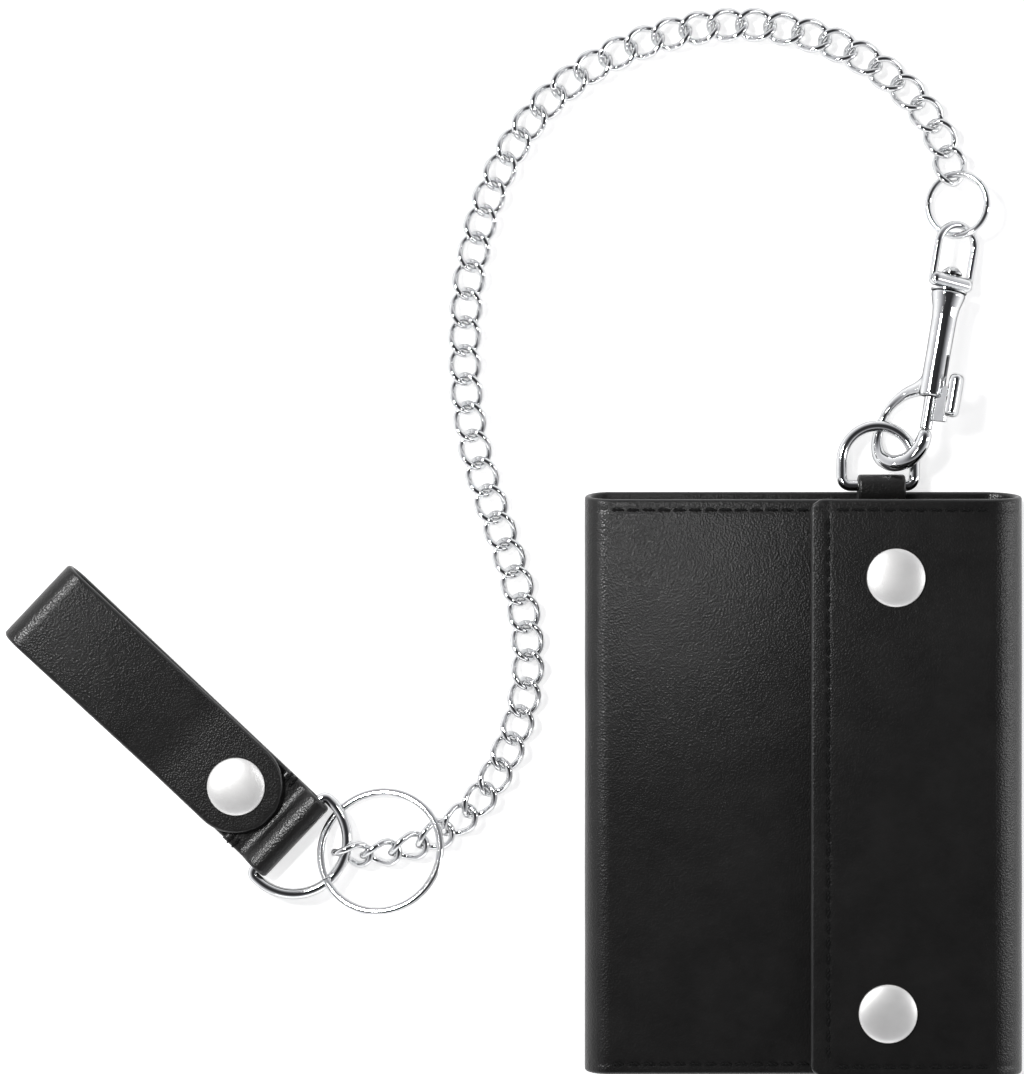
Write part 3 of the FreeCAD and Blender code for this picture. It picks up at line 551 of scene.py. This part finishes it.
def belt_loop():
    """The belt strap: a base wrapped round the D-ring, and a fold and top that unsnap."""
    turn, origin = strap_place()
    place = Matrix.Translation(origin) @ turn
    inward = place.inverted()
    loop = pivot("strap_unsnap").z
    bar = inward @ pivot("belt_loop_on_ring")
    thick, half = 1.5 * MM, 10.25 * MM
    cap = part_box("strap_snap_cap")
    top_low = cap[1].z - 1.7 * MM - thick / 2
    bar_radius = bar.z - thick / 2
    return_start, rise_start = 64.6 * MM, 68.9 * MM
    return_middle = 1.5 * thick + 0.05 * MM

    base_path = Bend((return_start, return_middle), 0)
    base_path.line(rise_start - return_start)
    s_curve(base_path, bar.x - rise_start, bar.z + bar_radius - return_middle)
    base_path.arc(bar_radius, -math.pi)
    base_path.line(bar.x - loop)
    base = leather_sheet("strap_base_leather", base_path, lambda share: (-half, half), thick, place,
                         free=(True, False), swell=0.03 * MM, seed=21.0)
    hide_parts("strap_base")
    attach(base, "belt_strap")

    top_path = Bend((loop, thick / 2), math.pi)
    drop, slope_run = 2 * loop - thick / 2 - top_low, 39.6 * MM
    slope = math.atan2(drop, slope_run)
    top_path.arc(loop - thick / 2, -math.pi - slope)
    top_path.line(slope_run * 0.985 / math.cos(slope) - 3 * MM)
    ease = 60 * MM
    top_path.arc(ease, slope)
    tip = 69.2 * MM
    top_path.line(tip - top_path.x)
    top = leather_sheet("strap_top_leather", top_path, lambda share: (-half, half), thick, place,
                        free=(False, True), corner=(0, half - 0.1 * MM), swell=0.05 * MM, seed=33.0)
    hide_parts("strap_top", "strap_fold")
    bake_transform(top)


def ring_tab():
    """The strip that holds the D-ring to the top of the wallet."""
    tab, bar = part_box("ring_tab"), pivot("wallet_ring_swing")
    thick, tail = 1.2 * MM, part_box("ring_tab")[0].y
    radius = bar.z - tab[0].z - thick / 2
    squeeze = 7 * MM
    path = Bend((tail, bar.z - radius), 0)
    path.out = -1
    path.line(bar.y - tail).arc(radius, math.pi)
    upper = tab[0].z + 1.5 * thick + 0.05 * MM
    s_curve(path, squeeze, bar.z + radius - upper)
    path.line(bar.y - squeeze - tail)
    half = (tab[1].x - tab[0].x) / 2
    middle = (tab[1].x + tab[0].x) / 2
    place = Matrix.Translation((middle, 0, 0)) @ Matrix(((0, -1, 0), (1, 0, 0), (0, 0, 1))).to_4x4()
    piece = leather_sheet("ring_tab_leather", path, lambda share: (-half, half), thick, place, step=0.8 * MM,
                          swell=0.02 * MM, seed=44.0)
    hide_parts("ring_tab")
    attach(piece, "wallet_back")


# ---------------------------------------------------------------- thread
def stitch(centre, along, level):
    """One stitch: two plies twisted together, its ends sunk in the leather."""
    length, ply, steps, turns = 2.6 * MM, 0.22 * MM, 12, 1.25
    across = Vector((0, 0, 1)).cross(along).normalized()
    plies = []
    for phase in (0, math.pi):
        points = []
        for k in range(steps + 1):
            t = k / steps
            sink = 0.5 * MM * (abs(2 * t - 1)) ** 3.2
            angle = phase + turns * 2 * math.pi * t
            points.append(centre + along * (t - 0.5) * length + across * math.cos(angle) * ply * 0.8
                          + Vector((0, 0, level - centre.z - sink + ply * 0.8 * math.sin(angle))))
        plies.append(tube(points, ply, sides=8, closed=False))
    return joined(plies)


def thread_rows():
    """Every visible stitch, in place of the plain CAD ones."""
    for node, body, panel in (("flap_stitches", "flap", "flap_panel"),
                              ("cover_stitches", "cover", "cover_panel"),
                              ("strap_stitches", "belt_strap", None)):
        low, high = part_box(node)
        level = (low.z + high.z) / 2 - 0.26 * MM
        parts = [stitch(centre, (axes @ Vector((1, 0, 0))).normalized(), level)
                 for centre, axes in node_solids(node)]
        piece = new_piece(node + "_thread", *joined(parts), [THREAD])
        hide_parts(node)
        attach(piece, body)


# ---------------------------------------------------------------- snaps
def snap_caps():
    """Satin domes with a rolled rim."""
    for node, body in (("flap_snap_cap", "flap"), ("strap_snap_cap", "strap_top")):
        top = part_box(node)[1].z
        parts = []
        for centre, _ in node_solids(node):
            seat = Matrix.Translation((centre.x, centre.y, top - 1.7 * MM))
            edge = 6.25 * MM
            dome = [(edge * math.cos(a), 0.42 * MM + 1.28 * MM * math.sin(a) ** 1.15)
                    for a in (math.pi / 2 * k / 22 for k in range(1, 23))]
            dome[-1] = (0, dome[-1][1])
            rim = [(0, -2.3 * MM), (1.58 * MM, -2.3 * MM), (1.6 * MM, -0.02 * MM), (5.7 * MM, 0.0),
                   (6.1 * MM, 0.03 * MM), (edge, 0.16 * MM), (edge, 0.36 * MM)]
            parts.append(lathe(rim + dome, seat))
        piece = new_piece(node + "_dome", *joined(parts), [NICKEL])
        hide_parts(node)
        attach(piece, body)


# ---------------------------------------------------------------- snap hook and key ring
HOOK_ROLL, EYE_ROLL = 35, -25  # degrees about the barrel
# across the barrel, along it and radius, in mm, from the barrel's foot round to the jaw's tip
ARM_AND_JAW = [(-0.5, 5.6, 1.8), (-1.2, 3.1, 1.95), (-3.2, 1.5, 1.6), (-6.7, -0.3, 1.2), (-9.8, -3.7, 0.98),
               (-11.1, -8.0, 1.0), (-11.1, -11.6, 1.2), (-9.6, -14.3, 1.6), (-6.3, -15.3, 1.75),
               (-2.9, -14.1, 1.75), (-0.8, -11.6, 1.7), (0.0, -9.3, 1.6), (0.0, -7.9, 1.35), (0.0, -7.3, 0.8)]


def barrel_place(roll):
    """X across the hook, Z along its barrel from its foot, turned about it by a roll in degrees."""
    aim = Vector(JOINTS["hook_swivel"]["axis"]).normalized()
    level = aim.cross(Vector((0, 0, 1))).normalized()
    up = level.cross(aim)
    across = level * math.cos(math.radians(roll)) + up * math.sin(math.radians(roll))
    turn = Matrix((across, aim.cross(across), aim)).transposed().to_4x4()
    return Matrix.Translation(pivot("hook_swivel")) @ turn


def rounded_through(points, steps=8):
    """A smooth run of points through given ones, of any number of columns."""
    points = [np.array(p, float) for p in points]
    ends = [2 * points[0] - points[1]] + points + [2 * points[-1] - points[-2]]
    run = []
    for a, b, c, d in zip(ends, ends[1:], ends[2:], ends[3:]):
        for k in range(steps):
            t = k / steps
            run.append(0.5 * (2 * b + (c - a) * t + (2 * a - 5 * b + 4 * c - d) * t * t
                              + (3 * b - a - 3 * c + d) * t ** 3))
    return run + [points[-1]]


def melted(name, parts, voxel, material, smooth=6):
    """Several closed shapes as one skin with soft fillets where they meet."""
    piece = new_piece(name, *joined(parts), [material])
    remesh = piece.modifiers.new("skin", "REMESH")
    remesh.mode, remesh.voxel_size, remesh.use_smooth_shade = "VOXEL", voxel, True
    soften = piece.modifiers.new("soften", "SMOOTH")
    soften.factor, soften.iterations = 0.5, smooth
    bake_modifiers(piece)
    return piece


def bake_modifiers(piece):
    """Turns a piece's modifiers into its mesh."""
    evaluated = piece.evaluated_get(bpy.context.evaluated_depsgraph_get())
    mesh = bpy.data.meshes.new_from_object(evaluated)
    piece.modifiers.clear()
    piece.data = mesh
    mesh.shade_smooth()


def rounded_block(low, high, bevel, place):
    """A block with round edges, between two corners in mm."""
    work = bmesh.new()
    bmesh.ops.create_cube(work, size=1.0)
    low, high = Vector(low) * MM, Vector(high) * MM
    for vertex in work.verts:
        vertex.co = Vector([(a + b) / 2 + (b - a) * c for a, b, c in zip(low, high, vertex.co)])
    bmesh.ops.bevel(work, geom=work.edges[:], offset=bevel * MM, segments=6, profile=0.5, affect="EDGES")
    vertices = [place @ v.co for v in work.verts]
    work.verts.index_update()
    faces = [tuple(v.index for v in face.verts) for face in work.faces]
    work.free()
    return vertices, faces


def hook():
    """The hook body as one casting: barrel with a bell end, arm and jaw, and the thumb slot."""
    place = barrel_place(HOOK_ROLL)
    bore_radius, bore_top, below = 1.48 * MM, 16 * MM, -3 * MM
    barrel = [(0, -0.1), (2.35, -0.1), (2.65, 0.25), (2.7, 0.8), (2.62, 9.0), (2.7, 17.6), (2.95, 19.6),
              (3.45, 21.4), (3.65, 22.2), (3.6, 22.75), (3.3, 22.9), (0, 22.9)]
    shell = lathe([(r * MM, h * MM) for r, h in barrel], place, 64)
    line = rounded_through(ARM_AND_JAW)
    arm = tube([place @ Vector((x * MM, 0, z * MM)) for x, z, _ in line], [r * MM for _, _, r in line],
               sides=28, closed=False)
    body = melted("hook_casting", [shell, arm], 0.16 * MM, CHROME)
    bore = new_piece("bore_cutter", *joined([
        lathe([(0, below), (bore_radius, below), (bore_radius, bore_top), (0, bore_top)], place, 40)]),
        [CHROME])
    slot = new_piece("slot_cutter", *rounded_block((0, -0.75, -2), (4, 0.75, 9.3), 0.3, place),
                     [CHROME])
    for cutter in (bore, slot):
        cut = body.modifiers.new("cut", "BOOLEAN")
        cut.operation, cut.object, cut.solver = "DIFFERENCE", cutter, "EXACT"
    bake_modifiers(body)
    for cutter in (bore, slot):
        bpy.data.objects.remove(cutter)
    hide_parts("hook_body")
    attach(body, "snap_hook")


def thumb_piece():
    """The knob that draws the bolt, with its web through the slot."""
    place = barrel_place(HOOK_ROLL)
    knob = rounded_block((4.1, -1.7, -4.0), (6.8, 1.7, 5.3), 1.15, place)
    web = rounded_block((1.4, -0.58, -5.3), (4.6, 0.58, 2.5), 0.25, place)
    piece = melted("bolt_thumb_knob", [knob, web], 0.12 * MM, CHROME, 3)
    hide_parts("bolt_thumb_piece")
    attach(piece, "hook_bolt")


def eye():
    """The swivel eye: a round bar, and an arch that leaves it through two round feet."""
    place = barrel_place(EYE_ROLL)
    half, arch, wire, base = 4.6, 33.3, 0.85, 25.2
    bow = [(-half, base - 0.6), (-half, base + 3), (-half, arch)]
    bow += [(-half * math.cos(math.pi * k / 16), arch + half * math.sin(math.pi * k / 16))
            for k in range(1, 16)]
    bow += [(half, arch), (half, base + 3), (half, base - 0.6)]
    line = rounded_through(bow, 4)
    loop = tube([place @ Vector((x * MM, 0, z * MM)) for x, z in line], wire * MM, sides=24, closed=False)
    bar = rounded_block((-5.2, -1.6, 23.75), (5.2, 1.6, 26.85), 1.35, place)
    piece = melted("swivel_eye_casting", [loop, bar], 0.14 * MM, CHROME, 4)
    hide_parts("swivel_eye")
    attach(piece, "swivel_eye")


def key_ring():
    """A split ring: two turns of softly rounded wire, one on the other."""
    centre, axes = node_solids("key_ring")[0]
    normal = (axes @ Vector((0, 0, 1))).normalized()
    if normal.z < 0:
        normal = -normal
    east = Vector((1, 0, 0))
    east = (east - normal * east.dot(normal)).normalized()
    north = normal.cross(east)
    radius, coil, start = 13.25 * MM, 0.7 * MM, math.radians(210)
    steps, ramp, sides = 200, math.radians(30), 16
    half_wide, half_tall, boxy = 0.75 * MM, 0.33 * MM, 0.75
    points = []
    total = 4 * math.pi - math.radians(4)
    for k in range(steps * 2 + 1):
        angle = total * k / (2 * steps)
        climb = min(max((angle - (2 * math.pi - ramp)) / ramp, 0), 1)
        height = coil * (climb * climb * (3 - 2 * climb) - 0.5)
        at = start + angle
        points.append(centre + (east * math.cos(at) + north * math.sin(at)) * radius + normal * height)
    vertices, faces = [], []
    for point in points:
        out = (point - centre - normal * (point - centre).dot(normal)).normalized()
        for k in range(sides):
            a = 2 * math.pi * k / sides
            wide = math.copysign(abs(math.cos(a)) ** boxy, math.cos(a)) * half_wide
            tall = math.copysign(abs(math.sin(a)) ** boxy, math.sin(a)) * half_tall
            vertices.append(point + out * wide + normal * tall)
    for ring in range(len(points) - 1):
        for k in range(sides):
            m = (k + 1) % sides
            faces.append((ring * sides + k, ring * sides + m, (ring + 1) * sides + m, (ring + 1) * sides + k))
    faces.append(tuple(range(sides)))
    faces.append(tuple((len(points) - 1) * sides + k for k in reversed(range(sides))))
    piece = new_piece("key_ring_wire", vertices, faces, [CHROME])
    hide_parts("key_ring")
    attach(piece, "key_ring")


# ---------------------------------------------------------------- stage, light and camera
def area_light(name, place, aim, size, power):
    lamp = bpy.data.lights.new(name, "AREA")
    lamp.shape = "RECTANGLE"
    lamp.size, lamp.size_y = size
    lamp.energy = power
    holder = bpy.data.objects.new(name, lamp)
    holder.location = place
    holder.rotation_mode = "QUATERNION"
    holder.rotation_quaternion = (Vector(aim) - Vector(place)).to_track_quat("-Z", "Y")
    bpy.context.scene.collection.objects.link(holder)


def studio():
    """A white floor that glows a little, and a world that is bright below and dark overhead."""
    floor = Shader("floor")
    floor.surface.inputs["Base Color"].default_value = (0.6, 0.6, 0.6, 1)
    floor.set(Roughness=0.9, Specular_IOR_Level=0.1, Emission_Strength=0.62)
    floor.surface.inputs["Emission Color"].default_value = (1, 1, 1, 1)
    size = 3.0
    drop = -0.2 * MM
    ground = new_piece("floor", [(-size, -size, drop), (size, -size, drop), (size, size, drop),
                                 (-size, size, drop)], [(0, 1, 2, 3)], [floor.material], False)
    world = bpy.data.worlds.new("studio")
    world.use_nodes = True
    bpy.context.scene.world = world
    tree = world.node_tree
    background = tree.nodes["Background"]
    place = tree.nodes.new("ShaderNodeTexCoord")
    split = tree.nodes.new("ShaderNodeSeparateXYZ")
    ramp = tree.nodes.new("ShaderNodeValToRGB")
    tree.links.new(place.outputs["Generated"], split.inputs["Vector"])
    tree.links.new(split.outputs["Z"], ramp.inputs["Fac"])
    tree.links.new(ramp.outputs["Color"], background.inputs["Color"])
    stops = ramp.color_ramp.elements
    stops[0].position, stops[0].color = 0.0, (1.0, 1.0, 1.0, 1)
    stops[1].position, stops[1].color = 0.9, (0.03, 0.03, 0.032, 1)
    middle = stops.new(0.5)
    middle.color = (0.5, 0.5, 0.52, 1)
    background.inputs["Strength"].default_value = 1.15


def camera():
    """Straight down, with a long lens."""
    middle = Vector((-62.7 * MM, 52.7 * MM, 8 * MM))
    field_height, sensor, lens = 231.0 * MM, 36.0, 110.0
    data = bpy.data.cameras.new("camera")
    data.lens, data.sensor_width = lens, sensor
    data.clip_start, data.clip_end = 0.01, 20
    holder = bpy.data.objects.new("camera", data)
    holder.location = middle + Vector((0, 0, field_height * lens / sensor))
    bpy.context.scene.collection.objects.link(holder)
    bpy.context.scene.camera = holder
    bpy.context.scene.view_settings.view_transform = "Standard"


def lights():
    """Large lamps from three sides, and two small ones that show the leather's grain."""
    area_light("key", (-0.42, 0.30, 0.62), (-0.08, 0.03, 0), (0.14, 0.14), 4.5)
    area_light("side", (0.62, 0.02, 0.26), (0.04, 0, 0), (0.10, 0.6), 1.0)
    area_light("cover_glint", (-0.033, 0.053, 0.13), (-0.033, 0.053, 0), (0.012, 0.03), 0.03)
    area_light("strap_glint", (-0.177, 0.033, 0.13), (-0.177, 0.033, 0), (0.012, 0.012), 0.03)
    area_light("low", (-0.1, -0.9, 0.35), (-0.05, 0, 0), (0.9, 0.2), 0.9)


dress_cad_nodes()
wallet_leather()
belt_loop()
ring_tab()
thread_rows()
snap_caps()
hook()
thumb_piece()
eye()
key_ring()
studio()
lights()
camera()
